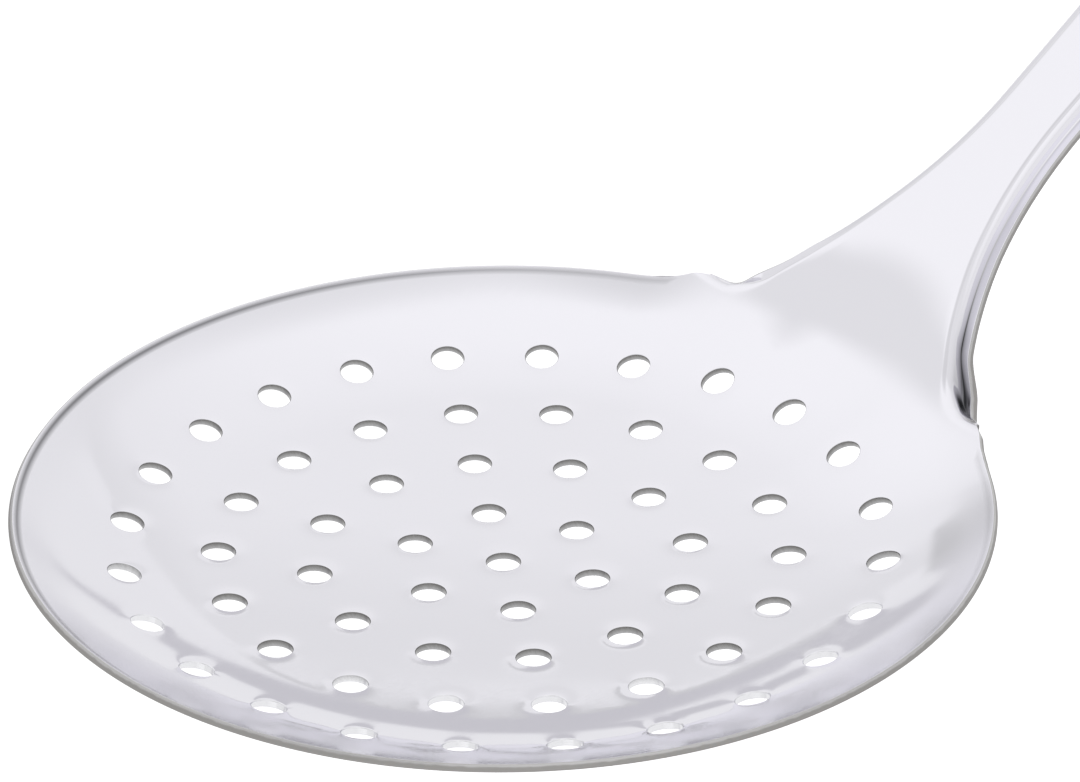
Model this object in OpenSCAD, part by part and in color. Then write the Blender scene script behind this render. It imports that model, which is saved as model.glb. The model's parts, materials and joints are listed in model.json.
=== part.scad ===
// Skimmer pressed from one stainless steel sheet: a shallow perforated dish whose
// wall runs up into a long handle. The handle is a hat section: a smooth face in
// the middle, a short wall down on each side and a narrow flange along each edge.
//
// Frame: millimetres. The skimmer lies as it comes to rest on a table at z = 0, on
// the dish's wall and the end of its handle. +x runs from the dish to the handle's
// end, and the part is the same on both sides of y = 0.

/* [Sheet] */
// thickness of the sheet
sheet_t = 0.95; // [0.8:0.05:0.95]

/* [Dish] */
// diameter of the dish at its rim
dish_d = 120; // [114:0.5:120.5]
// radius of the dish's shallow floor
floor_r = 490; // [400:5:700]
// distance from the centre at which the floor turns up into the wall
wall_start = 38; // [37:0.5:42]
// radius of the curve of the wall
wall_r = 45.4; // [40:0.2:50]

/* [Holes] */
// diameter of each drain hole
hole_d = 4.2; // [3:0.1:5]
// distance from one ring of holes to the next
hole_pitch = 11.66; // [11:0.02:12]
// rings of holes round the one in the centre
hole_rings = 4; // [1:1:4]

/* [Root of the handle] */
// distance from the centre at which the floor starts to lift towards the handle
lift_start = 18; // [16:1:24]
// distance from the centre at which it turns up into the rise
root_start = 38.4; // [36:0.1:40]
// how far the floor is lifted there
root_raise = 0.55; // [0.2:0.01:1]
// radius of the curve from the floor into the rise
ramp_r = 37.2; // [32:0.1:40]
// steepest angle of the rise
ramp_angle = 48.2; // [42:0.1:50]
// half of the angle, seen from above, over which the rise is full
root_core = 10; // [9:0.2:14]
// half of the angle over which it fades out
root_spread = 34.8; // [30:0.2:40]
// how far the rim swings outwards beside the root
corner_out = 1.75; // [0:0.05:1.85]
// how much sooner the cut edge is set down than the shoulder
root_lead = 0.7; // [0:0.05:2.5]

/* [Handle] */
// angle of the handle above the plane of the rim
handle_angle = 33.6; // [30:0.1:38]
// radius of the bend from the rise to the straight handle
ease_r = 63.2; // [50:0.2:80]
// distance from the dish's centre to the handle's end, along the floor's plane
handle_reach = 260; // [200:5:300]
// distance from the dish's centre to the narrowest place
neck_x = 88.2; // [88:0.1:91]
// radius of the neck's sides, seen from above
neck_r = 45.45; // [43:0.05:45.6]
// half the width of the face at the neck
neck_half = 4.15; // [4:0.05:6]
// half the width of the face near the handle's end
face_half = 7.6; // [6:0.1:9]

/* [Hat section] */
// height of the face above the flanges
hat_h = 1.95; // [1.6:0.05:3]
// height of the face above the flanges at the root
root_hat_h = 2.8; // [2.5:0.05:2.85]
// radius of the two bends of each wall, at the middle of the sheet
bend_r = 0.75; // [0.7:0.05:0.9]
// the same at the root
root_bend_r = 1.15; // [1.1:0.05:1.3]
// slope of the wall
wall_angle = 78.5; // [70:0.5:82]
// slope of the wall at the root
root_wall_angle = 71; // [64:0.5:73]
// width of the flange
flange_w = 1.2; // [0.8:0.05:2]
// width of the flange at the root
root_flange_w = 0.85; // [0.8:0.05:1.3]
// angle at which the flange turns up
flange_angle = 10; // [0:1:25]
// angle at which it turns up at the root
root_flange_angle = 34; // [0:0.5:42]

/* [Handle end] */
// half the width of the flat end, which is round
end_half = 11; // [10:0.5:13]
// length over which the end is flat
end_flat = 30; // [26:1:40]
// length over which the hat section fades out
fade_length = 22; // [15:1:30]
// diameter of the hole that the skimmer hangs by
hang_d = 8; // [5:0.5:10]
// distance from the handle's end to the middle of that hole
hang_inset = 11; // [10:0.5:14]

/* [Hidden] */
$fn = 64;

steel = [0.84, 0.84, 0.86];
half_t = sheet_t / 2;
rim_r = dish_d / 2;

function smooth(a, b, v) = let (s = min(1, max(0, (v - a) / (b - a)))) s * s * (3 - 2 * s);
function mix(a, b, s) = a + (b - a) * s;

// The dish's mid surface: a flat sphere for the floor and a tangent arc for the wall.
floor_angle = asin(wall_start / floor_r);
wall_x = wall_start - wall_r * sin(floor_angle);
wall_z = floor_r - (floor_r - wall_r) * cos(floor_angle);
rim_angle = asin((rim_r - wall_x) / wall_r);
function floor_z(r) = floor_r - sqrt(floor_r * floor_r - r * r);
function dish_z(r) =
    r < wall_start ? floor_z(r) : wall_z - sqrt(wall_r * wall_r - pow(r - wall_x, 2));

// The line up the middle of the handle: lifted floor, rising arc, easing arc, straight.
root_z = floor_z(root_start) + root_raise;
root_slope = atan(root_start / sqrt(floor_r * floor_r - root_start * root_start)
    + 3 * root_raise / (root_start - lift_start));
ramp_x = root_start - ramp_r * sin(root_slope);
ramp_z = root_z + ramp_r * cos(root_slope);
ease_start = ramp_x + ramp_r * sin(ramp_angle);
ease_x = ease_start + ease_r * sin(ramp_angle);
ease_z = ramp_z - ramp_r * cos(ramp_angle) - ease_r * cos(ramp_angle);
straight_x = ease_x - ease_r * sin(handle_angle);
straight_z = ease_z + ease_r * cos(handle_angle);
function lift(u) = root_raise * pow(max(0, u - lift_start) / (root_start - lift_start), 3);
function spine_z(u) =
    u < root_start ? floor_z(u) + lift(u)
    : u < ease_start ? ramp_z - sqrt(ramp_r * ramp_r - pow(u - ramp_x, 2))
    : u < straight_x ? ease_z + sqrt(ease_r * ease_r - pow(ease_x - u, 2))
    : straight_z + (u - straight_x) * tan(handle_angle);

// The sheet before the flanges are set down. Inside the dish its level lines are
// circles round the centre, and along the handle they turn into straight lines.
function face_z(x, y) =
    let (r = norm([x, y]), share = 1 - smooth(rim_r - 2, straight_x, x),
        u = x + (r - x) * share, rise = 1 - smooth(root_core, root_spread, abs(atan2(y, x))),
        low = dish_z(min(u, rim_r + 6)))
    rise >= 1 ? spine_z(u) : mix(low, spine_z(u), rise);

// Half the width of the face between the two shoulders.
shoulder_x = rim_r - 5;
function side(x) = sqrt(neck_r * neck_r - pow(neck_x - max(x, shoulder_x), 2));
function shoulder_y(x) = x < neck_x ? neck_half + neck_r - side(x)
    : min(end_y(x) * 0.69, mix(neck_half, face_half, smooth(neck_x, handle_reach - 40, x)));

// Where the cross-section square to the shoulder meets the plane of the station: out is
// measured outwards from the shoulder and down is measured square to the face.
function from_shoulder(x, out, down) =
    let (e = 0.05, y = shoulder_y(x),
        face_x = (face_z(x + e, y) - face_z(x - e, y)) / (2 * e),
        face_y = (face_z(x, y + e) - face_z(x, y - e)) / (2 * e),
        turn = (shoulder_y(x + e) - shoulder_y(x - e)) / (2 * e),
        run = [1, turn, face_x + face_y * turn],
        up = [-face_x, -face_y, 1] / norm([face_x, face_y, 1]),
        outward = cross(up, run), v = out * outward / norm(outward) - down * up)
    v - v[0] * run;

// Half the width of the sheet where it has no flange: in the dish and at the end. The seam
// is where the round dish ends, between two rows of holes and before the floor is lifted.
seam_x = 14.7;
seam_inset = 0.05;
function rim_y(x) =
    let (r = rim_r + corner_out * smooth(rim_r - 8.5, rim_r - 1.5, x))
    sqrt(max(1, r * r - x * x)) - (x > seam_x ? 0 : seam_inset);
function end_y(x) =
    let (left = (handle_reach - x) / cos(handle_angle))
    left > end_half ? end_half : sqrt(max(0.01, left * (2 * end_half - left)));

// How much of the hat section there is at a station, from 0 to 1.
root_x0 = rim_r - 5.6;
root_x1 = rim_r - 1.55;
root_x2 = rim_r + 2;
flat_x1 = handle_reach - end_flat * cos(handle_angle);
flat_x0 = flat_x1 - fade_length * cos(handle_angle);
function hat(x) = x < neck_x ? smooth(root_x0, root_x1, x) : 1 - smooth(flat_x0, flat_x1, x);

// One side's section from the shoulder to the cut edge, as [outwards, down] pairs:
// bend, wall, bend back and flange. At the root it is taller and more open.
bend_steps = 3;
flange_steps = 2;
function hat_side(x) =
    let (past = smooth(root_x1, root_x2, x), r = mix(root_bend_r, bend_r, past),
        a = mix(root_wall_angle, wall_angle, past),
        b = mix(root_flange_angle, flange_angle, past),
        h = mix(root_hat_h, hat_h, past), w = mix(root_flange_w, flange_w, past),
        run = (h - 2 * r * (1 - cos(a))) / sin(a),
        foot = [2 * r * sin(a) + run * cos(a), h])
    concat(
        [for (i = [0:bend_steps]) let (c = a * i / bend_steps) [r * sin(c), r * (1 - cos(c))]],
        [for (i = [0:bend_steps]) let (c = mix(a, -b, i / bend_steps))
            foot - [r * sin(c), r * (1 - cos(c))]],
        [for (i = [1:flange_steps]) let (l = w * i / flange_steps)
            foot + [r * sin(b) + l * cos(b), -r * (1 - cos(b)) - l * sin(b)]]);
side_steps = 2 * bend_steps + 1 + flange_steps;
face_steps = 5;

// A point of the mid surface: k runs across the sheet from edge to edge.
function side_point(x, k, sgn) =
    let (y0 = shoulder_y(x), edge = x < neck_x ? max(rim_y(x), y0 + 1) : end_y(x),
        flat_y = mix(y0, edge, k / side_steps), s = hat_side(x)[k],
        flat = [x, sgn * flat_y, face_z(x, flat_y)],
        v = from_shoulder(x, s[0], s[1]), set = [x, sgn * (y0 + v[1]), face_z(x, y0) + v[2]])
    mix(flat, set, hat(x + root_lead * k / side_steps));
function face_point(x, k) = let (y = shoulder_y(x) * k / face_steps) [x, y, face_z(x, y)];
half_n = face_steps + side_steps;
function mid_point(x, j) =
    let (k = j - half_n, n = abs(k))
    n <= face_steps ? face_point(x, k) : side_point(x, n - face_steps, sign(k));

// Stations along x, closer together where the sheet bends.
tip_x = handle_reach - end_half * cos(handle_angle);
stations = concat(
    [for (i = [0:10]) mix(seam_x, root_x0 - root_lead, i / 11)],
    [for (i = [0:8]) mix(root_x0 - root_lead, root_x1, i / 9)],
    [for (i = [0:4]) mix(root_x1, root_x2 + 0.8, i / 5)],
    [for (i = [0:6]) mix(root_x2 + 0.8, straight_x + 3, i / 7)],
    [for (i = [0:3]) mix(straight_x + 3, neck_x, i / 4)],
    [for (i = [0:4]) mix(neck_x, flat_x0, i / 5)],
    [for (i = [0:4]) mix(flat_x0, flat_x1, i / 5)],
    [for (i = [0:2]) mix(flat_x1, tip_x, i / 3)],
    [for (i = [0:7]) mix(tip_x, handle_reach, sin(i * 12.7))]);
rows = len(stations);
cols = 2 * half_n + 1;

mids = [for (x = stations) [for (j = [0:cols - 1]) mid_point(x, j)]];
function across(i, j) = mids[i][min(cols - 1, j + 1)] - mids[i][max(0, j - 1)];
function along(i, j) = mids[min(rows - 1, i + 1)][j] - mids[max(0, i - 1)][j];
function normal(i, j) = let (n = cross(along(i, j), across(i, j))) n / norm(n);

// At the seam the section stays in its plane, a little inside the dish's own.
function offset_at(i, j) =
    let (n = normal(i, j))
    i > 0 ? n * half_t : [0, n[1], n[2]] * (half_t - seam_inset) / (n[1] * n[1] + n[2] * n[2]);

// Dish floor and wall, up to the seam.
module dish() {
    difference() {
        rotate_extrude($fn = 180) {
            arc_band([0, floor_r], floor_r, 0, floor_angle);
            arc_band([wall_x, wall_z], wall_r, floor_angle, rim_angle);
        }
        translate([seam_x, -rim_r * 1.5, -rim_r])
            cube([rim_r * 2, rim_r * 3, rim_r * 2]);
    }
}

// A band of the sheet's thickness along an arc, between two angles from straight down.
module arc_band(centre, radius, from, to) {
    reach = radius * 1.5;
    translate(centre)
        intersection() {
            difference() {
                circle(r = radius + half_t, $fn = 720);
                circle(r = radius - half_t, $fn = 720);
            }
            polygon([[0, 0], reach * [sin(from), -cos(from)], reach * [sin(to), -cos(to)]]);
        }
}

// Rest of the dish, root and handle: the mid surface given the sheet's thickness.
module root_and_handle() {
    count = rows * cols;
    above = [for (i = [0:rows - 1]) for (j = [0:cols - 1]) mids[i][j] + offset_at(i, j)];
    cells = [for (i = [0:rows - 2]) for (j = [0:cols - 2])
        let (a = i * cols + j) [a, a + 1, a + cols + 1, a + cols]];
    edges = concat(
        [for (j = [0:cols - 2]) [j + 1, j]],
        [for (j = [0:cols - 2]) let (a = (rows - 1) * cols + j) [a, a + 1]],
        [for (i = [0:rows - 2]) [i * cols, (i + 1) * cols]],
        [for (i = [0:rows - 2]) let (a = i * cols + cols - 1) [a + cols, a]]);
    polyhedron(concat(above, below), concat(
        [for (c = cells) [c[0], c[1], c[2]]], [for (c = cells) [c[0], c[2], c[3]]],
        [for (c = cells) [c[2], c[1], c[0]] + count * [1, 1, 1]],
        [for (c = cells) [c[3], c[2], c[0]] + count * [1, 1, 1]],
        [for (e = edges) [e[0], e[1], e[1] + count]],
        [for (e = edges) [e[0], e[1] + count, e[0] + count]]), convexity = 10);
}

// Drain holes square to the sheet, six more in each ring than in the one inside it.
module drain_holes() {
    cylinder(d = hole_d, h = 6, center = true);
    for (ring = [1:hole_rings]) {
        r = ring * hole_pitch;
        slope = r < wall_start ? asin(r / floor_r) : asin((r - wall_x) / wall_r);
        for (i = [0:6 * ring - 1])
            rotate(i * 60 / ring)
                translate([r, 0, dish_z(r)])
                    rotate([0, -slope, 0])
                        cylinder(d = hole_d, h = 8, center = true);
    }
}

// Hole in the handle's end, square to the handle.
hang_x = handle_reach - hang_inset * cos(handle_angle);
module hang_hole() {
    translate([hang_x, 0, spine_z(hang_x)])
        rotate([0, -handle_angle, 0])
            cylinder(d = hang_d, h = 8, center = true);
}

// At rest the skimmer has tipped back about the lowest place of its root, until the
// underside of the handle touches the table. The origin is under the middle of it.
below = [for (i = [0:rows - 1]) for (j = [0:cols - 1]) mids[i][j] - offset_at(i, j)];
function height_at(p, tilt) = p[2] * cos(tilt) - p[0] * sin(tilt);
function reach_at(p, tilt) = p[0] * cos(tilt) + p[2] * sin(tilt);
lowest = min([for (p = below) if (p[0] < neck_x) height_at(p, handle_angle)]);
pivot = [for (p = below) if (p[0] < neck_x && height_at(p, handle_angle) == lowest) p][0];
rest_tilt = min([for (p = below) if (p[0] > neck_x) atan2(p[2] - pivot[2], p[0] - pivot[0])]);
rest_lift = -height_at(pivot, rest_tilt);
front = [-rim_r - half_t * sin(rim_angle), 0, dish_z(rim_r) - half_t * cos(rim_angle)];
rest_shift = -(reach_at(front, rest_tilt) + max([for (p = below) reach_at(p, rest_tilt)])) / 2;

module skimmer() {
    color(steel)
        translate([rest_shift, 0, rest_lift])
            rotate([0, rest_tilt, 0])
                difference() {
                    union() {
                        dish();
                        root_and_handle();
                    }
                    drain_holes();
                    hang_hole();
                }
}

skimmer();
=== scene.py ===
# A skimmer pressed from one sheet of stainless steel, lying on a pale floor.
# Lengths are in millimetres until the mesh is made, and angles are in degrees.

import json
import math
import random

import bmesh
import bpy
from mathutils import Matrix, Vector
from mathutils.geometry import delaunay_2d_cdt
from mathutils.kdtree import KDTree


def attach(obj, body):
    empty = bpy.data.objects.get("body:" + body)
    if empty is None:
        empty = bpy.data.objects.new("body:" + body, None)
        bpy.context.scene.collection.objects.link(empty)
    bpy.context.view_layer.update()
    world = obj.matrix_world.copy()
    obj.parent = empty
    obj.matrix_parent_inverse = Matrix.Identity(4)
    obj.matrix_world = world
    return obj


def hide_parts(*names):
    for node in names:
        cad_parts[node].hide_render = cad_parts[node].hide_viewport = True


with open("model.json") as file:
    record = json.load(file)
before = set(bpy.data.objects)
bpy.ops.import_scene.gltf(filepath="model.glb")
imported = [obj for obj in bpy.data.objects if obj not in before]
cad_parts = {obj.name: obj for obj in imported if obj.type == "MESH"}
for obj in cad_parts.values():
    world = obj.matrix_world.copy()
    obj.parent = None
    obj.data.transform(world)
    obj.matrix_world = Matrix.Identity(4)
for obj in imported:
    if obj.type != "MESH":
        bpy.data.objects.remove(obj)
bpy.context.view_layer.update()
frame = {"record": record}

# Dish
#
# The dish is drawn from the sheet in a press: a floor that is almost flat, and a wall
# that curls up to the cut rim. All shapes are first worked out about the dish's centre,
# on the sheet's mid surface, with the handle running out along +x.
SHEET_T = 0.95
HALF_T = SHEET_T / 2
RIM_R = 60.0
FLOOR_R = 490.0
WALL_START = 38.0
WALL_R = 45.4


def smooth(a, b, v):
    s = min(1.0, max(0.0, (v - a) / (b - a)))
    return s * s * (3 - 2 * s)


def mix(a, b, s):
    return a + (b - a) * s


floor_angle = math.asin(WALL_START / FLOOR_R)
wall_x = WALL_START - WALL_R * math.sin(floor_angle)
wall_z = FLOOR_R - (FLOOR_R - WALL_R) * math.cos(floor_angle)


def floor_z(r):
    return FLOOR_R - math.sqrt(FLOOR_R**2 - r * r)


def dish_z(r):
    if r < WALL_START:
        return floor_z(r)
    return wall_z - math.sqrt(WALL_R**2 - (r - wall_x) ** 2)


# Root of the handle
#
# Towards the handle the floor rises sooner and steeper than the wall, as one smooth
# tongue that fades into the wall on both sides and runs up into the handle's face.
LIFT_START = 18.0
ROOT_START = 38.4
ROOT_RAISE = 0.55
RAMP_R = 37.2
RAMP_ANGLE = 48.2
EASE_R = 63.2
HANDLE_ANGLE = 33.6
ROOT_CORE = 10.0
ROOT_SPREAD = 34.8
CORNER_OUT = 1.75
CORNER_X0 = RIM_R - 8.5
CORNER_X1 = RIM_R - 1.5
FAN_END = RIM_R - 2
WALL_END = RIM_R + 6

root_z = floor_z(ROOT_START) + ROOT_RAISE
root_slope = math.atan(
    ROOT_START / math.sqrt(FLOOR_R**2 - ROOT_START**2) + 3 * ROOT_RAISE / (ROOT_START - LIFT_START)
)
ramp_angle = math.radians(RAMP_ANGLE)
handle_angle = math.radians(HANDLE_ANGLE)
ramp_x = ROOT_START - RAMP_R * math.sin(root_slope)
ramp_z = root_z + RAMP_R * math.cos(root_slope)
ease_start = ramp_x + RAMP_R * math.sin(ramp_angle)
ease_x = ease_start + EASE_R * math.sin(ramp_angle)
ease_z = ramp_z - (RAMP_R + EASE_R) * math.cos(ramp_angle)
straight_x = ease_x - EASE_R * math.sin(handle_angle)
straight_z = ease_z + EASE_R * math.cos(handle_angle)


def spine_z(u):
    """Height of the sheet along the middle of the handle."""
    if u < ROOT_START:
        return floor_z(u) + ROOT_RAISE * (max(0.0, u - LIFT_START) / (ROOT_START - LIFT_START)) ** 3
    if u < ease_start:
        return ramp_z - math.sqrt(RAMP_R**2 - (u - ramp_x) ** 2)
    if u < straight_x:
        return ease_z + math.sqrt(EASE_R**2 - (ease_x - u) ** 2)
    return straight_z + (u - straight_x) * math.tan(handle_angle)


def beside_root(x, y):
    """0 in the middle of the root, seen from the dish's centre, and 1 in the plain wall."""
    return smooth(ROOT_CORE, ROOT_SPREAD, abs(math.degrees(math.atan2(y, x))))


def face_z(x, y):
    """Height of the sheet before its edges are set down beside the handle."""
    r = math.hypot(x, y)
    share = 1 - smooth(FAN_END, straight_x, x)
    u = x + (r - x) * share
    rise = 1 - beside_root(x, y)
    if rise >= 1:
        return spine_z(u)
    return mix(dish_z(min(u, WALL_END)), spine_z(u), rise)


# Handle
#
# The handle is a hat section: a smooth face in the middle, a short wall down on each
# side and a narrow flange along each edge. It is narrowest just past the root. Its end
# is flat and round, with a hole to hang it by.
HANDLE_REACH = 260.0
NECK_X = 88.2
NECK_R = 45.45
NECK_HALF = 4.15
SHOULDER_START = RIM_R - 5
FACE_HALF = 7.6
WIDEST_X = HANDLE_REACH - 40
END_HALF = 11.0
END_FACE_SHARE = 0.69
END_FLAT = 30.0
FADE_LENGTH = 22.0
HANG_D = 8.0
HANG_INSET = 11.0
HAT_H, ROOT_HAT_H = 1.95, 2.8
BEND_R, ROOT_BEND_R = 0.75, 1.15
WALL_ANGLE, ROOT_WALL_ANGLE = 78.5, 71.0
FLANGE_W, ROOT_FLANGE_W = 1.2, 0.85
FLANGE_ANGLE, ROOT_FLANGE_ANGLE = 10.0, 34.0
ROOT_LEAD = 0.7
ROOT_X0 = RIM_R - 5.6
ROOT_X1 = RIM_R - 1.55
ROOT_X2 = RIM_R + 2.0

flat_x1 = HANDLE_REACH - END_FLAT * math.cos(handle_angle)
flat_x0 = flat_x1 - FADE_LENGTH * math.cos(handle_angle)
hang_x = HANDLE_REACH - HANG_INSET * math.cos(handle_angle)
tip_x = HANDLE_REACH - END_HALF * math.cos(handle_angle)


def end_y(x):
    """Half the width of the sheet along the handle, which ends in a half circle."""
    left = (HANDLE_REACH - x) / math.cos(handle_angle)
    if left > END_HALF:
        return END_HALF
    return math.sqrt(max(0.01, left * (2 * END_HALF - left)))


def rim_y(x):
    """Half the width of the sheet in the dish. The rim swings outwards beside the root."""
    r = RIM_R + CORNER_OUT * smooth(CORNER_X0, CORNER_X1, x)
    return math.sqrt(max(1.0, r * r - x * x))


def shoulder_y(x):
    """Half the width of the face between its two shoulders."""
    if x < NECK_X:
        back = NECK_X - max(x, SHOULDER_START)
        return NECK_HALF + NECK_R - math.sqrt(NECK_R**2 - back * back)
    widening = mix(NECK_HALF, FACE_HALF, smooth(NECK_X, WIDEST_X, x))
    return min(end_y(x) * END_FACE_SHARE, widening)


def hat(x):
    """How much of the hat section there is, from 0 to 1."""
    if x < NECK_X:
        return smooth(ROOT_X0, ROOT_X1, x)
    return 1 - smooth(flat_x0, flat_x1, x)


BEND_STEPS = 6
FLANGE_STEPS = 3
SIDE_STEPS = 2 * BEND_STEPS + 1 + FLANGE_STEPS
FACE_STEPS = 12


def hat_side(x):
    """The section from a shoulder to the cut edge, as (outwards, down) pairs."""
    past = smooth(ROOT_X1, ROOT_X2, x)
    r = mix(ROOT_BEND_R, BEND_R, past)
    a = math.radians(mix(ROOT_WALL_ANGLE, WALL_ANGLE, past))
    b = math.radians(mix(ROOT_FLANGE_ANGLE, FLANGE_ANGLE, past))
    h = mix(ROOT_HAT_H, HAT_H, past)
    w = mix(ROOT_FLANGE_W, FLANGE_W, past)
    run = (h - 2 * r * (1 - math.cos(a))) / math.sin(a)
    foot = 2 * r * math.sin(a) + run * math.cos(a)
    pairs = []
    for i in range(BEND_STEPS + 1):
        c = a * i / BEND_STEPS
        pairs.append((r * math.sin(c), r * (1 - math.cos(c))))
    for i in range(BEND_STEPS + 1):
        c = mix(a, -b, i / BEND_STEPS)
        pairs.append((foot - r * math.sin(c), h - r * (1 - math.cos(c))))
    for i in range(1, FLANGE_STEPS + 1):
        along = w * i / FLANGE_STEPS
        out = foot + r * math.sin(b) + along * math.cos(b)
        pairs.append((out, h - r * (1 - math.cos(b)) - along * math.sin(b)))
    return pairs


def across_shoulder(x):
    """Unit directions outwards and up, square to the shoulder, and the shoulder's own run."""
    e = 0.05
    y = shoulder_y(x)
    face_x = (face_z(x + e, y) - face_z(x - e, y)) / (2 * e)
    face_y = (face_z(x, y + e) - face_z(x, y - e)) / (2 * e)
    turn = (shoulder_y(x + e) - shoulder_y(x - e)) / (2 * e)
    run = Vector((1, turn, face_x + face_y * turn))
    up = Vector((-face_x, -face_y, 1)).normalized()
    return up.cross(run).normalized(), up, run


def section(x):
    """The sheet's mid surface at one station, from one cut edge to the other."""
    y0 = shoulder_y(x)
    edge = max(rim_y(x), y0 + 1) if x < NECK_X else end_y(x)
    outward, up, run = across_shoulder(x)
    half = []
    for i in range(1, FACE_STEPS + 1):
        y = y0 * i / FACE_STEPS
        half.append(Vector((x, y, face_z(x, y))))
    for k, (out, down) in enumerate(hat_side(x)):
        flat_y = mix(y0, edge, k / SIDE_STEPS)
        flat = Vector((x, flat_y, face_z(x, flat_y)))
        v = outward * out - up * down
        v -= run * v.x
        formed = Vector((x, y0 + v.y, face_z(x, y0) + v.z))
        point = flat.lerp(formed, hat(x + ROOT_LEAD * k / SIDE_STEPS))
        if k == 0:
            half[-1] = point
        else:
            half.append(point)
    other = [Vector((p.x, -p.y, p.z)) for p in reversed(half)]
    return other + [Vector((x, 0, face_z(x, 0)))] + half


# The inner bend of the near side shows a dark crease, drawn as a tone of the metal: it is
# painted shade. It is widest and darkest at the root, and ends before the neck. What
# darkens it isn't known.
ROOT_CREASE_W, CREASE_W = 0.6 * BEND_STEPS, 0.35 * BEND_STEPS
CREASE_SHARE = 0.45
CREASE_X0, CREASE_X1 = 68.0, 90.0


def crease(x, k):
    """How dark the painted shade in the crease is at a station and a step of hat_side."""
    width = mix(ROOT_CREASE_W, CREASE_W, smooth(ROOT_X1, ROOT_X2 + 5, x))
    middle = 1.5 * BEND_STEPS + 1
    along = mix(1, CREASE_SHARE, smooth(ROOT_X2, ROOT_X2 + 9, x)) * (1 - smooth(CREASE_X0, CREASE_X1, x))
    return math.exp(-(((k - middle) / width) ** 2)) * along * hat(x)


def spread(*spans):
    """Stations over spans that follow on from each other, as (start, end, step)."""
    at = []
    for start, end, step in spans:
        count = math.ceil((end - start) / step)
        at += [mix(start, end, i / count) for i in range(count)]
    return at + [spans[-1][1]]


SEAM_X = 52.6
stations = spread(
    (SEAM_X, ROOT_X0 - 0.8, 0.4),
    (ROOT_X0 - 0.8, ROOT_X2 + 1, 0.22),
    (ROOT_X2 + 1, NECK_X, 0.7),
    (NECK_X, flat_x0, 2.5),
    (flat_x0, flat_x1, 1.0),
)
sections = [section(x) for x in stations]

sheet = bmesh.new()
crease_shade_at = sheet.verts.layers.float.new("crease")
rows = [[sheet.verts.new(p) for p in points] for points in sections]
# Each station's near bend carries how dark the crease's painted shade is.
for x, row in zip(stations, rows):
    for k in range(SIDE_STEPS + 1):
        row[SIDE_STEPS - k][crease_shade_at] = crease(x, k)
for near, far in zip(rows, rows[1:]):
    for j in range(len(near) - 1):
        sheet.faces.new((near[j], far[j], far[j + 1], near[j + 1]))


# Holes
#
# The dish is pierced by round drain holes, one in the middle and four rings of six more
# each, and the handle's end by one larger hole. All are punched square to the sheet, and
# the punch draws the sheet down a little round each of them.
HOLE_D = 4.2
HOLE_PITCH = 11.66
HOLE_RINGS = 4
HOLE_SIDES = 32
HOLE_LOOPS = (0, 0.45, 0.8, 1.2, 1.7, 2.4)
DRAWN_DOWN = 0.09
DRAWN_WIDTH = 0.85
DRAWN_REACH = 3.6
LEAST_DRAWN, MOST_DRAWN = 0.75, 1.3
# The near side is the one towards the camera. The hole walls are brighter there as painted
# light, the dull zone is wider and the root has a crease of painted shade. The real sides
# may well be alike.
NEAR_SIDE = Vector((-0.63, -0.78))
# How far a hole lies towards the near side sets the painted light on its wall.
WALL_LIGHT_FROM, WALL_LIGHT_TO = 24.0, 34.0
WALL_LIGHT_SPREAD = 1.8


def hole(radius, angle, diameter, slope):
    """A punched hole. Those in the wall on the near side get the brightest painted light."""
    middle = Vector((radius, 0))
    middle.rotate(Matrix.Rotation(angle, 2))
    out = middle.dot(NEAR_SIDE) + WALL_LIGHT_SPREAD * (radius - 3 * HOLE_PITCH)
    painted_wall_light = smooth(WALL_LIGHT_FROM, WALL_LIGHT_TO, out)
    return {"middle": middle, "r": diameter / 2, "angle": angle, "slope": slope, "painted_wall_light": painted_wall_light}


drain_holes = [hole(0, 0, HOLE_D, 0)]
for ring in range(1, HOLE_RINGS + 1):
    r = ring * HOLE_PITCH
    slope = math.asin(r / FLOOR_R) if r < WALL_START else math.asin((r - wall_x) / WALL_R)
    for i in range(6 * ring):
        drain_holes.append(hole(r, math.radians(i * 60 / ring), HOLE_D, slope))
holes = drain_holes + [hole(hang_x, 0, HANG_D, handle_angle)]

punching = random.Random(4)
nearest_hole = KDTree(len(holes))
for i, punched in enumerate(holes):
    punched["depth"] = DRAWN_DOWN * punching.uniform(LEAST_DRAWN, MOST_DRAWN)
    nearest_hole.insert(punched["middle"].to_3d(), i)
nearest_hole.balance()


def punched_z(x, y):
    """Height of the sheet with its holes punched."""
    _, i, _ = nearest_hole.find((x, y, 0))
    punched = holes[i]
    away = Vector((x, y)) - punched["middle"]
    away.rotate(Matrix.Rotation(-punched["angle"], 2))
    off = math.hypot(away.x / math.cos(punched["slope"]), away.y) - punched["r"]
    if off > DRAWN_REACH:
        return face_z(x, y)
    fade = 1 - smooth(0, DRAWN_REACH, max(0.0, off))
    return face_z(x, y) - punched["depth"] * math.exp(-max(0.0, off) / DRAWN_WIDTH) * fade


def hole_loops(punched):
    """Rings of points round a hole, seen from above, the cut edge first."""
    loops = []
    for further in HOLE_LOOPS:
        r = punched["r"] + further
        loop = []
        for i in range(HOLE_SIDES):
            a = 2 * math.pi * i / HOLE_SIDES
            p = Vector((r * math.cos(a) * math.cos(punched["slope"]), r * math.sin(a)))
            p.rotate(Matrix.Rotation(punched["angle"], 2))
            loop.append(punched["middle"] + p)
        loops.append(loop)
    return loops


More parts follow.
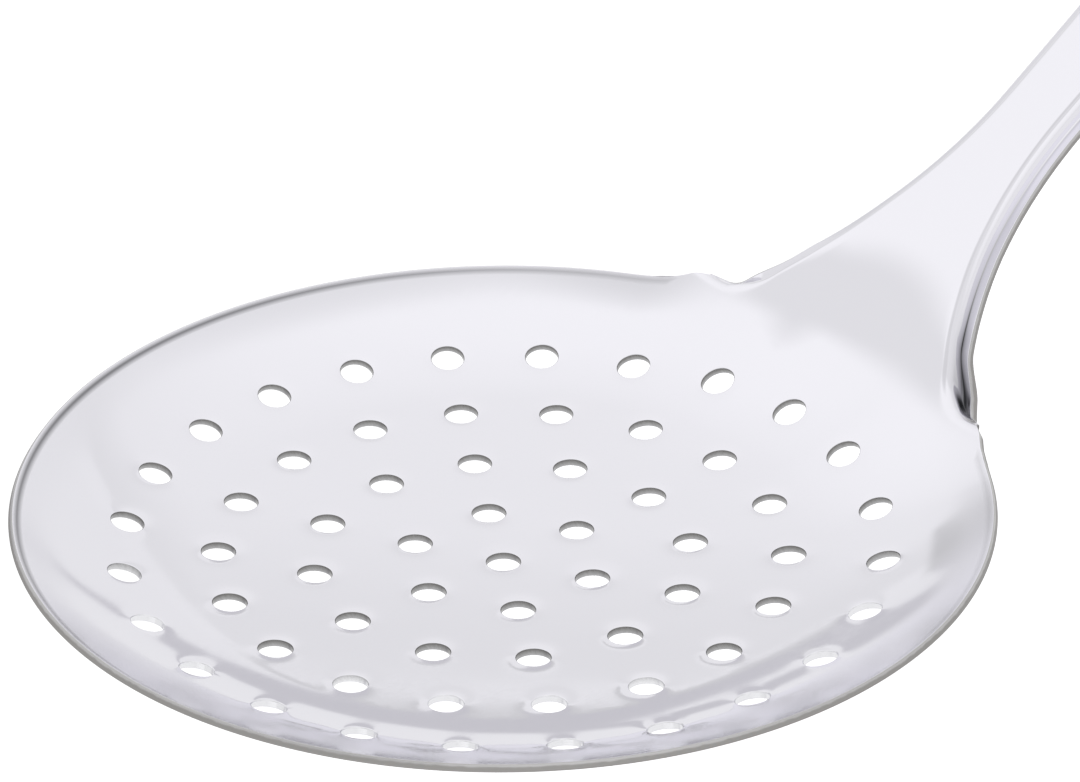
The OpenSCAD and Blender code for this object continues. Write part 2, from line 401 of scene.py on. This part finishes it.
def fill(outline, punched_holes, inner, grain):
    """Adds the sheet inside an outline, seen from above, but for its holes."""
    points = list(outline)
    edges = [(i, (i + 1) % len(outline)) for i in range(len(outline))]
    cut_out = []
    for punched in punched_holes:
        at = len(points)
        loop = list(range(at, at + HOLE_SIDES))
        cut_out.append(loop)
        edges += [(loop[i], loop[(i + 1) % HOLE_SIDES]) for i in range(HOLE_SIDES)]
        for ring_points in hole_loops(punched):
            points += ring_points
    clear = HOLE_LOOPS[-1] + 0.5 * grain
    for p in inner:
        if all((p - punched["middle"]).length > punched["r"] + clear for punched in punched_holes):
            points.append(p)
    flat, _, faces, _, _, origins = delaunay_2d_cdt(points, edges, cut_out, 0, 1e-6)
    made = [sheet.verts.new((p.x, p.y, punched_z(p.x, p.y))) for p in flat]
    for face, origin in zip(faces, origins):
        if not origin:
            sheet.faces.new([made[i] for i in face])


# The rows of a honeycomb are this share of its grain apart.
ROW_SHARE = 0.866


def honeycomb(x0, x1, half, grain, inside):
    """Evenly spread points in a rectangle, where inside() allows them."""
    points = []
    for i in range(int((x1 - x0) / (grain * ROW_SHARE)) + 1):
        x = x0 + grain * ROW_SHARE * i
        y = -half + grain / 2 * (i % 2)
        while y <= half:
            if inside(x, y):
                points.append(Vector((x, y)))
            y += grain
    return points


DISH_GRAIN = 1.1
RIM_INSETS = (0.6, 1.2)
inner_r = RIM_R - RIM_INSETS[-1] - 0.6 * DISH_GRAIN
inner_x = SEAM_X - 0.5 * DISH_GRAIN
seam_angle = math.atan2(sections[0][-1].y, SEAM_X)
rim_steps = 2 * round((math.pi - seam_angle) * RIM_R / DISH_GRAIN)
rim = []
for i in range(1, rim_steps):
    a = mix(seam_angle, 2 * math.pi - seam_angle, i / rim_steps)
    r = RIM_R + CORNER_OUT * smooth(CORNER_X0, CORNER_X1, RIM_R * math.cos(a))
    rim.append(Vector((r * math.cos(a), r * math.sin(a))))
inner = honeycomb(
    -RIM_R, SEAM_X, RIM_R, DISH_GRAIN,
    lambda x, y: math.hypot(x, y) < inner_r and x < inner_x,
)
for inset in RIM_INSETS:
    inner += [p * (1 - inset / RIM_R) for p in rim if p.x < inner_x]
fill([p.to_2d() for p in sections[0]] + rim, drain_holes, inner, DISH_GRAIN)

TIP_STEPS = 40
END_GRAIN = 1.5
END_CLEAR = 0.8
flat_length = (tip_x - flat_x1) / math.cos(handle_angle)
side_steps = round(flat_length / END_GRAIN)
one_side = [Vector((mix(flat_x1, tip_x, i / side_steps), END_HALF)) for i in range(1, side_steps)]
end_outline = [p.to_2d() for p in reversed(sections[-1])]
end_outline += [Vector((p.x, -p.y)) for p in one_side]
for i in range(TIP_STEPS + 1):
    a = math.pi * (i / TIP_STEPS - 0.5)
    out = END_HALF * math.cos(a) * math.cos(handle_angle)
    end_outline.append(Vector((tip_x + out, END_HALF * math.sin(a))))
end_outline += reversed(one_side)
inner = honeycomb(
    flat_x1 + 0.6 * END_GRAIN, HANDLE_REACH, END_HALF, END_GRAIN,
    lambda x, y: abs(y) < end_y(x) - END_CLEAR and x < HANDLE_REACH - END_CLEAR,
)
fill(end_outline, holes[-1:], inner, END_GRAIN)
bmesh.ops.remove_doubles(sheet, verts=sheet.verts, dist=1e-3)


# The skimmer
#
# The sheet gets its thickness here, half of it on each side, with the sharp edges of the
# cut taken off. It is laid down as the frame has it: on the outside of the dish's wall
# and the end of its handle.
EDGE_R = 0.16
# A vertex as near as this to a border is on it.
CLOSE = 0.01

hang = frame["record"]["mounts"][0]
lean = math.atan2(-hang["axis"][0], hang["axis"][2])
turn = Matrix.Rotation(handle_angle - lean, 4, "Y")
hang_at = turn @ Vector((hang_x, 0, face_z(hang_x, 0)))
rest = Matrix.Translation(Vector(hang["pos_m"]) * 1000 - hang_at) @ turn


def slope_of(height, x, y):
    """Unit normal of a surface that is given by its height."""
    e = 0.04
    along = height(x - e, y) - height(x + e, y)
    across = height(x, y - e) - height(x, y + e)
    return Vector((along, across, 2 * e)).normalized()


def filled(v):
    """True in the dish and in the handle's flat end, where the sheet is given by its height."""
    return v.co.x < SEAM_X + CLOSE or v.co.x > flat_x1 - CLOSE


sheet.normal_update()
square, shown = {}, {}
for v in sheet.verts:
    square[v] = shown[v] = v.normal.copy()
    if filled(v):
        square[v] = slope_of(face_z, v.co.x, v.co.y)

cut_edges = []
for edge in sheet.edges:
    if edge.is_boundary:
        loop = edge.link_loops[0]
        cut_edges.append((loop.vert, loop.link_loop_next.vert))
cut = {}
for a, b in cut_edges:
    for v in (a, b):
        cut[v] = cut.get(v, Vector()) + (b.co - a.co).normalized().cross(square[v])
edge_at = {}
for v, outward in cut.items():
    edge_at[v] = v.co.copy()
    cut[v] = outward.normalized()
    v.co -= cut[v] * EDGE_R
    if v.co.x < SEAM_X or v.co.x > flat_x1:
        v.co.z = punched_z(v.co.x, v.co.y)
for v in sheet.verts:
    if filled(v):
        shown[v] = slope_of(punched_z, v.co.x, v.co.y)

solid = bmesh.new()
through_at = solid.verts.layers.float.new("cut_depth")
# This layer carries the painted shade of the crease and of the line inside the rim.
painted_shade_at = solid.verts.layers.float.new("painted_shade_line")
painted_wall_light_at = solid.verts.layers.float.new("painted_wall_light")
dull_at = solid.verts.layers.float.new("dull")
normals = []


def corner(at, normal, through):
    """Adds a vertex. How far through the cut it lies goes from 0 on top to 1 underneath."""
    made = solid.verts.new(rest @ at / 1000)
    made[through_at] = through
    normals.append((turn @ normal).normalized())
    return made


# A dark line runs just inside the rim, strongest on the far left. It is painted shade, drawn
# as a tone of the metal. The real rim may be thicker or rounder there, and that form isn't
# modelled.
LINE_SIDE = Vector((-0.42, 0.91))
LINE, LINE_MORE = 0.15, 0.6
LINE_REACH = 0.1


def rim_shade_line(v):
    """How dark the painted shade of the line inside the rim is. It lies on the first ring of vertices
    there.
    """
    inside = RIM_R - math.hypot(v.co.x, v.co.y)
    if v in cut or v.co.x > SEAM_X - RIM_INSETS[0] or abs(inside - RIM_INSETS[0]) > LINE_REACH:
        return 0.0
    return LINE + LINE_MORE * max(0.0, v.co.to_2d().normalized().dot(LINE_SIDE))


# The steep top of the dish's wall is made duller, over a wider zone on the near side. A
# clear mirror there draws the holes of the dish as hard dark streaks.
DULL_INSET, NEAR_DULL_INSET = 7.0, 12.0
DULL_FADE = 5.0
NEAR_FROM, NEAR_TO = 0.3, 0.6


def dullness(v):
    near = smooth(NEAR_FROM, NEAR_TO, v.co.to_2d().dot(NEAR_SIDE) / RIM_R)
    start = RIM_R - mix(DULL_INSET, NEAR_DULL_INSET, near)
    return smooth(start, start + DULL_FADE, math.hypot(v.co.x, v.co.y)) * beside_root(v.co.x, v.co.y)


ROUND_STEPS = 3
ROUNDING = [math.pi / 2 * i / ROUND_STEPS for i in range(1, ROUND_STEPS + 1)]
above, below, rounds = {}, {}, {}
for v in sheet.verts:
    up = square[v]
    above[v] = corner(v.co + up * HALF_T, shown[v], 0)
    above[v][painted_shade_at] = max(v[crease_shade_at], rim_shade_line(v))
    above[v][dull_at] = dullness(v)
    below[v] = corner(v.co - up * HALF_T, -shown[v], 1)
    if v in cut:
        punched = holes[nearest_hole.find((v.co.x, v.co.y, 0))[1]]
        profile = [above[v]]
        for side, normal in ((1, shown[v]), (-1, -shown[v])):
            arc = []
            for a in ROUNDING:
                out = cut[v] * EDGE_R * (math.sin(a) - 1)
                drop = up * side * (HALF_T - EDGE_R * (1 - math.cos(a)))
                through = 0.5 - 0.5 * side * (1 - EDGE_R / HALF_T * (1 - math.cos(a)))
                facing = normal * math.cos(a) + cut[v] * math.sin(a)
                arc.append(corner(edge_at[v] + out + drop, facing, through))
                arc[-1][painted_wall_light_at] = punched["painted_wall_light"]
            profile += arc if side > 0 else reversed(arc)
        rounds[v] = profile + [below[v]]
for face in sheet.faces:
    solid.faces.new([above[v] for v in face.verts])
    solid.faces.new([below[v] for v in reversed(face.verts)])
for a, b in cut_edges:
    _, i, off = nearest_hole.find((a.co.x, a.co.y, 0))
    material_slot = 2 if off < holes[i]["r"] + HOLE_LOOPS[1] else 1
    for k in range(len(rounds[a]) - 1):
        strip = (rounds[b][k], rounds[a][k], rounds[a][k + 1], rounds[b][k + 1])
        solid.faces.new(strip).material_index = material_slot if k else 0
for face in solid.faces:
    face.smooth = True

mesh = bpy.data.meshes.new("skimmer_sheet")
solid.to_mesh(mesh)
mesh.normals_split_custom_set_from_vertices(normals)
skimmer = bpy.data.objects.new("skimmer_sheet", mesh)
bpy.context.collection.objects.link(skimmer)


def linear(code):
    """A colour written as sRGB hex, as the shaders take it."""
    channels = []
    for i in (0, 2, 4):
        c = int(code[i : i + 2], 16) / 255
        channels.append(c / 12.92 if c <= 0.04045 else ((c + 0.055) / 1.055) ** 2.4)
    return (*channels, 1.0)


def add_node(tree, kind, links=(), values=(), **settings):
    """Adds a node with its settings, its sockets' values and the links to its sockets."""
    made = tree.nodes.new(kind)
    for name, value in settings.items():
        setattr(made, name, value)
    for name, value in dict(values).items():
        made.inputs[name].default_value = value
    for name, source in dict(links).items():
        tree.links.new(source, made.inputs[name])
    return made


def new_tree(thing):
    thing.use_nodes = True
    thing.node_tree.nodes.clear()
    return thing.node_tree


# Stainless steel sheet, pressed and then polished on a wheel. The press leaves slow waves
# that bend what the metal mirrors, and the wheel leaves fine scratches along the handle
# and a shine that isn't quite even.
steel = bpy.data.materials.new("polished_stainless_steel")
tree = new_tree(steel)
place = add_node(tree, "ShaderNodeTexCoord").outputs["Object"]
# The waves of the press are some 14 mm long.
waves = add_node(
    tree, "ShaderNodeTexNoise", {"Vector": place}, {"Scale": 1 / 0.014, "Detail": 1.0, "Roughness": 0.4}
)
# Scratches of the wheel are some 0.02 mm wide; they are drawn 0.25 mm wide to show.
along = add_node(
    tree, "ShaderNodeMapping", {"Vector": place}, {"Scale": (1 / 0.009, 1 / 0.00025, 1 / 0.0006)}
)
scratches = add_node(
    tree, "ShaderNodeTexNoise", {"Vector": along.outputs[0]},
    {"Scale": 1.0, "Detail": 2.0, "Roughness": 0.6},
)
# The shine changes over some 25 mm, as the wheel bears harder or lighter.
bearing_on = add_node(
    tree, "ShaderNodeTexNoise", {"Vector": place}, {"Scale": 1 / 0.025, "Detail": 2.0, "Roughness": 0.5}
)
shine = add_node(
    tree, "ShaderNodeMath", {0: scratches.outputs["Fac"], 1: bearing_on.outputs["Fac"]},
    operation="MULTIPLY",
)
roughness = add_node(
    tree, "ShaderNodeMapRange", {"Value": shine.outputs[0]},
    {"From Min": 0.12, "From Max": 0.42, "To Min": 0.045, "To Max": 0.105},
)
# The dull zone at the top of the dish's wall is rougher.
dull = add_node(tree, "ShaderNodeAttribute", attribute_name="dull").outputs["Fac"]
roughness = add_node(
    tree, "ShaderNodeMath", {0: dull, 2: roughness.outputs[0]}, {1: 0.14}, operation="MULTIPLY_ADD"
)
pressed = add_node(
    tree, "ShaderNodeBump", {"Height": waves.outputs["Fac"]}, {"Strength": 1.0, "Distance": 1.6e-5}
)
scratched = add_node(
    tree, "ShaderNodeBump", {"Height": scratches.outputs["Fac"], "Normal": pressed.outputs["Normal"]},
    {"Strength": 1.0, "Distance": 3e-7},
)
# The painted shade of the crease and of the line inside the rim goes towards nearly black.
dark = add_node(tree, "ShaderNodeAttribute", attribute_name="painted_shade_line").outputs["Fac"]
tone = add_node(
    tree, "ShaderNodeMix", {"Factor": dark}, {6: linear("EEEDF3"), 7: linear("1C1E20")}, data_type="RGBA"
)
shader = add_node(
    tree, "ShaderNodeBsdfPrincipled",
    {"Base Color": tone.outputs[2], "Roughness": roughness.outputs[0], "Normal": scratched.outputs[0]},
    {"Metallic": 1.0},
)
add_node(tree, "ShaderNodeOutputMaterial", {"Surface": shader.outputs["BSDF"]})

# Sheared edge of the same steel. The shear burnishes the upper part of the cut and tears
# the rest, which is rougher and darker. The line between the two wanders.
sheared = bpy.data.materials.new("sheared_stainless_steel")
tree = new_tree(sheared)
place = add_node(tree, "ShaderNodeTexCoord").outputs["Object"]
# Torn patches are some 1.2 mm long and the grain in them some 0.15 mm.
patches = add_node(
    tree, "ShaderNodeTexNoise", {"Vector": place}, {"Scale": 1 / 0.0012, "Detail": 2.0, "Roughness": 0.5}
)
grain = add_node(
    tree, "ShaderNodeTexNoise", {"Vector": place}, {"Scale": 1 / 0.00015, "Detail": 2.0, "Roughness": 0.6}
)
through = add_node(tree, "ShaderNodeAttribute", attribute_name="cut_depth").outputs["Fac"]
wandering = add_node(
    tree, "ShaderNodeMath", {0: patches.outputs["Fac"], 2: through}, {1: 0.4}, operation="MULTIPLY_ADD"
)
torn = add_node(
    tree, "ShaderNodeMapRange", {"Value": wandering.outputs[0]}, {"From Min": 0.48, "From Max": 0.68}
)
tone = add_node(
    tree, "ShaderNodeMix", {"Factor": torn.outputs[0]}, {6: linear("C2C1C1"), 7: linear("A3A19F")},
    data_type="RGBA",
)
roughness = add_node(
    tree, "ShaderNodeMapRange", {"Value": torn.outputs[0]}, {"To Min": 0.22, "To Max": 0.42}
)
depth_of_grain = add_node(
    tree, "ShaderNodeMath", {0: grain.outputs["Fac"], 1: torn.outputs[0]}, operation="MULTIPLY"
)
grained = add_node(
    tree, "ShaderNodeBump", {"Height": depth_of_grain.outputs[0]}, {"Strength": 1.0, "Distance": 2e-5}
)
shader = add_node(
    tree, "ShaderNodeBsdfPrincipled",
    {"Base Color": tone.outputs[2], "Roughness": roughness.outputs[0], "Normal": grained.outputs[0]},
    {"Metallic": 1.0},
)
add_node(tree, "ShaderNodeOutputMaterial", {"Surface": shader.outputs["BSDF"]})

# Wall of a punched hole in the same steel. The punch rubs it, and leaves fine lines
# straight through the sheet. Each wall is drawn lighter towards its underside, and the
# walls on the near side brighter still, which is painted light.
punched_steel = bpy.data.materials.new("punched_stainless_steel")
tree = new_tree(punched_steel)
place = add_node(tree, "ShaderNodeTexCoord").outputs["Object"]
# The lines of the punch are some 0.05 mm wide; they are drawn 0.2 mm wide to show.
lines = add_node(
    tree, "ShaderNodeMapping", {"Vector": place}, {"Scale": (1 / 0.0002, 1 / 0.0002, 1 / 0.002)}
)
lines = add_node(
    tree, "ShaderNodeTexNoise", {"Vector": lines.outputs[0]},
    {"Scale": 1.0, "Detail": 1.0, "Roughness": 0.5},
)
# The near hole walls are drawn brighter here: painted light.
lines_and_light = add_node(tree, "ShaderNodeAttribute", attribute_name="painted_wall_light").outputs["Fac"]
lines_and_light = add_node(
    tree, "ShaderNodeMath", {0: lines.outputs["Fac"], 2: lines_and_light}, {1: -0.2}, operation="MULTIPLY_ADD"
)
through = add_node(tree, "ShaderNodeAttribute", attribute_name="cut_depth").outputs["Fac"]
lines_and_light = add_node(
    tree, "ShaderNodeMath", {0: through, 2: lines_and_light.outputs[0]}, {1: 0.55}, operation="MULTIPLY_ADD"
)
tone = add_node(
    tree, "ShaderNodeMix", {"Factor": lines_and_light.outputs[0]}, {6: linear("858483"), 7: linear("F4F4F7")},
    data_type="RGBA",
)
roughness = add_node(
    tree, "ShaderNodeMapRange", {"Value": lines.outputs["Fac"]}, {"To Min": 0.14, "To Max": 0.26}
)
shader = add_node(
    tree, "ShaderNodeBsdfPrincipled", {"Base Color": tone.outputs[2], "Roughness": roughness.outputs[0]},
    {"Metallic": 1.0},
)
add_node(tree, "ShaderNodeOutputMaterial", {"Surface": shader.outputs["BSDF"]})

for material in (steel, sheared, punched_steel):
    mesh.materials.append(material)

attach(skimmer, "root")
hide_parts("skimmer")


# Floor
#
# A plain white floor, which carries the skimmer and keeps its shadow. The metal alone
# mirrors three greyer strips of it, as the edges of a white backdrop would leave.
def disc(name, radius):
    made = bpy.data.meshes.new(name)
    form = bmesh.new()
    bmesh.ops.create_circle(form, cap_ends=True, segments=64, radius=radius)
    form.to_mesh(made)
    thing = bpy.data.objects.new(name, made)
    bpy.context.collection.objects.link(thing)
    return thing


floor = disc("floor", 6.0)
paper = bpy.data.materials.new("matt_white_paper")
tree = new_tree(paper)
path = add_node(tree, "ShaderNodeLightPath")
spot = add_node(tree, "ShaderNodeNewGeometry").outputs["Position"]
mirrored = add_node(
    tree, "ShaderNodeMath", {0: path.outputs["Is Glossy Ray"], 1: path.outputs["Is Transmission Ray"]},
    operation="MAXIMUM",
)
FLOOR_GLOW = 0.86
MIRRORED_LEVEL, STRIP_DROP = 0.91, 0.25
# Straight edges bound the three grey strips: each is a direction across it on the floor,
# and how far along that the grey fades in, in metres.
STRIP_ENDS = (((1.35, -1, 0), -0.149, -0.137), ((1, -0.476, 0), -0.0825, -0.077))
LONG_STRIP = (((-1, 1, 0), 0.132, 0.140), *STRIP_ENDS)
NEAR_STRIP = (((-1.2, 0.8, 0), 0.097, 0.104), *STRIP_ENDS)
SIDE_STRIP = (((-1.96, 1, 0), 0.168, 0.180), ((0, 1, 0), 0.172, 0.186))
strips = []
for edges in (LONG_STRIP, NEAR_STRIP, SIDE_STRIP):
    within = mirrored
    for across, start, end in edges:
        reach = add_node(tree, "ShaderNodeVectorMath", {0: spot}, {1: across}, operation="DOT_PRODUCT")
        reach = add_node(
            tree, "ShaderNodeMapRange", {"Value": reach.outputs["Value"]},
            {"From Min": start, "From Max": end}, interpolation_type="SMOOTHSTEP",
        )
        within = add_node(
            tree, "ShaderNodeMath", {0: within.outputs[0], 1: reach.outputs[0]}, operation="MULTIPLY"
        )
    strips.append(within.outputs[0])
strip = strips[0]
for other in strips[1:]:
    strip = add_node(tree, "ShaderNodeMath", {0: strip, 1: other}, operation="MAXIMUM").outputs[0]
level = add_node(
    tree, "ShaderNodeMath", {0: strip}, {1: -STRIP_DROP, 2: MIRRORED_LEVEL}, operation="MULTIPLY_ADD"
)
glow = add_node(
    tree, "ShaderNodeMath", {0: path.outputs["Is Camera Ray"]}, {1: FLOOR_GLOW}, operation="MULTIPLY"
)
plain = add_node(tree, "ShaderNodeBsdfDiffuse", {}, {"Color": linear("F2F2F2")})
lit = add_node(tree, "ShaderNodeEmission", {"Strength": glow.outputs[0]})
both = add_node(tree, "ShaderNodeAddShader", {0: plain.outputs[0], 1: lit.outputs[0]})
hue = add_node(
    tree, "ShaderNodeMix", {"Factor": strip}, {6: linear("FFFFFF"), 7: linear("FCFBFF")}, data_type="RGBA"
)
image = add_node(tree, "ShaderNodeEmission", {"Strength": level.outputs[0], "Color": hue.outputs[2]})
chosen = add_node(
    tree, "ShaderNodeMixShader", {0: mirrored.outputs[0], 1: both.outputs[0], 2: image.outputs[0]}
)
add_node(tree, "ShaderNodeOutputMaterial", {"Surface": chosen.outputs[0]})
floor.data.materials.append(paper)


# Light
#
# A white room and one large soft lamp overhead. The room that the metal mirrors is
# brightest at a large pale panel behind the skimmer and at a window on its other side.
world = bpy.data.worlds.new("white_room")
tree = new_tree(world)
path = add_node(tree, "ShaderNodeLightPath")
way = add_node(tree, "ShaderNodeTexCoord").outputs["Generated"]
way = add_node(tree, "ShaderNodeSeparateXYZ", {0: way})
bearing = add_node(
    tree, "ShaderNodeMath", {0: way.outputs["Y"], 1: way.outputs["X"]}, operation="ARCTAN2"
).outputs[0]
# Each edge is the pair of bearings between which the light fades in.
RIGHT_EDGE, LEFT_EDGE, WINDOW_EDGE = (-12, 4), (92, 79), (-29, -46)
fades = []
for start, end in (RIGHT_EDGE, LEFT_EDGE, WINDOW_EDGE):
    fade = add_node(
        tree, "ShaderNodeMapRange", {"Value": bearing},
        {"From Min": math.radians(start), "From Max": math.radians(end)}, interpolation_type="SMOOTHSTEP",
    )
    fades.append(fade.outputs[0])
panel = add_node(tree, "ShaderNodeMath", {0: fades[0], 1: fades[1]}, operation="MULTIPLY")
lit_side = add_node(tree, "ShaderNodeMath", {0: panel.outputs[0], 1: fades[2]}, operation="MAXIMUM")
# The light changes with height: an elevation in degrees, and the level there.
heights = add_node(tree, "ShaderNodeValToRGB", {0: way.outputs["Z"]})
STOPS = (
    (0.0, 0.885), (1.9, 0.885), (2.3, 0.81), (4, 0.82), (6, 0.85), (8.5, 0.895), (11, 0.9), (16, 0.92),
    (24, 0.95), (40, 0.99), (55, 1.0), (64, 0.76), (90, 0.7),
)
ramp = heights.color_ramp
while len(ramp.elements) < len(STOPS):
    ramp.elements.new(0.5)
for element, (angle, level) in zip(ramp.elements, STOPS):
    element.position = math.sin(math.radians(angle))
for element, (angle, level) in zip(ramp.elements, STOPS):
    element.color = (level, level, level, 1)
# Two grey things stand on the horizon: the far edge of the floor, and a low box. Each
# edge is what it is measured in, and the levels between which the grey fades in.
height = way.outputs["Z"]
FLOOR_END = (
    (bearing, math.radians(43.2), math.radians(43.8)),
    (bearing, math.radians(55), math.radians(53)),
    (height, 0.017, 0.014),
)
LOW_BOX = (
    (bearing, math.radians(61.5), math.radians(63.5)),
    (bearing, math.radians(82), math.radians(78)),
    (height, 0.152, 0.140),
)
ROOM_LEVEL, GREY_DROP = 1.04, 0.27
greys = []
for edges in (FLOOR_END, LOW_BOX):
    within = panel
    for source, start, end in edges:
        reach = add_node(
            tree, "ShaderNodeMapRange", {"Value": source}, {"From Min": start, "From Max": end},
            interpolation_type="SMOOTHSTEP",
        )
        within = add_node(
            tree, "ShaderNodeMath", {0: within.outputs[0], 1: reach.outputs[0]}, operation="MULTIPLY"
        )
    greys.append(within.outputs[0])
grey = add_node(tree, "ShaderNodeMath", {0: greys[0], 1: greys[1]}, operation="MAXIMUM")
strength = add_node(
    tree, "ShaderNodeMath", {0: grey.outputs[0]}, {1: -GREY_DROP, 2: ROOM_LEVEL}, operation="MULTIPLY_ADD"
)
bright = add_node(
    tree, "ShaderNodeBackground", {"Color": heights.outputs[0], "Strength": strength.outputs[0]}
)
dull = add_node(tree, "ShaderNodeBackground", {}, {"Color": linear("FFFFFF"), "Strength": 0.86})
room = add_node(
    tree, "ShaderNodeMixShader", {0: lit_side.outputs[0], 1: dull.outputs[0], 2: bright.outputs[0]}
)
# The camera sees plain white, and the floor gets a little light from all round.
white = add_node(tree, "ShaderNodeBackground", {}, {"Color": linear("FFFFFF"), "Strength": 1.0})
ambient = add_node(tree, "ShaderNodeBackground", {}, {"Color": linear("FFFFFF"), "Strength": 0.2})
mirrored = add_node(
    tree, "ShaderNodeMixShader",
    {0: path.outputs["Is Glossy Ray"], 1: ambient.outputs[0], 2: room.outputs[0]},
)
seen = add_node(
    tree, "ShaderNodeMath", {0: path.outputs["Is Camera Ray"], 1: path.outputs["Is Transmission Ray"]},
    operation="MAXIMUM",
)
chosen = add_node(
    tree, "ShaderNodeMixShader", {0: seen.outputs[0], 1: mirrored.outputs[0], 2: white.outputs[0]}
)
add_node(tree, "ShaderNodeOutputWorld", {"Surface": chosen.outputs[0]})
bpy.context.scene.world = world

lamp_data = bpy.data.lights.new("soft_lamp", "AREA")
lamp_data.shape = "SQUARE"
lamp_data.size = 0.8
lamp_data.energy = 1.3
lamp = bpy.data.objects.new("soft_lamp", lamp_data)
lamp.location = (-0.3, 0.3, 1.0)
lamp.rotation_euler = (Vector((0, 0, 0)) - lamp.location).to_track_quat("-Z", "Y").to_euler()
lamp.visible_glossy = False
bpy.context.collection.objects.link(lamp)


# Camera
#
# A long lens, a little above the plane of the dish, with the handle running away to the
# upper right.
LENS = 202.1
CAMERA_DISTANCE = 781.4
CAMERA_ELEVATION = 29.44
CAMERA_SWING = 39.13
CAMERA_ROLL = -0.09
AIM = Vector((30.8, 30.7, 0))

towards = Matrix.Rotation(math.radians(-CAMERA_SWING), 4, "Z")
towards @= Matrix.Rotation(math.radians(90 - CAMERA_ELEVATION), 4, "X")
towards @= Matrix.Rotation(math.radians(CAMERA_ROLL), 4, "Z")
stand = rest @ Matrix.Translation(AIM) @ towards @ Matrix.Translation((0, 0, CAMERA_DISTANCE))
camera_data = bpy.data.cameras.new("camera")
camera_data.lens = LENS
camera = bpy.data.objects.new("camera", camera_data)
facing = stand.to_quaternion().to_matrix().to_4x4()
camera.matrix_world = Matrix.Translation(stand.translation / 1000) @ facing
bpy.context.collection.objects.link(camera)
bpy.context.scene.camera = camera

bpy.context.scene.view_settings.view_transform = "Standard"
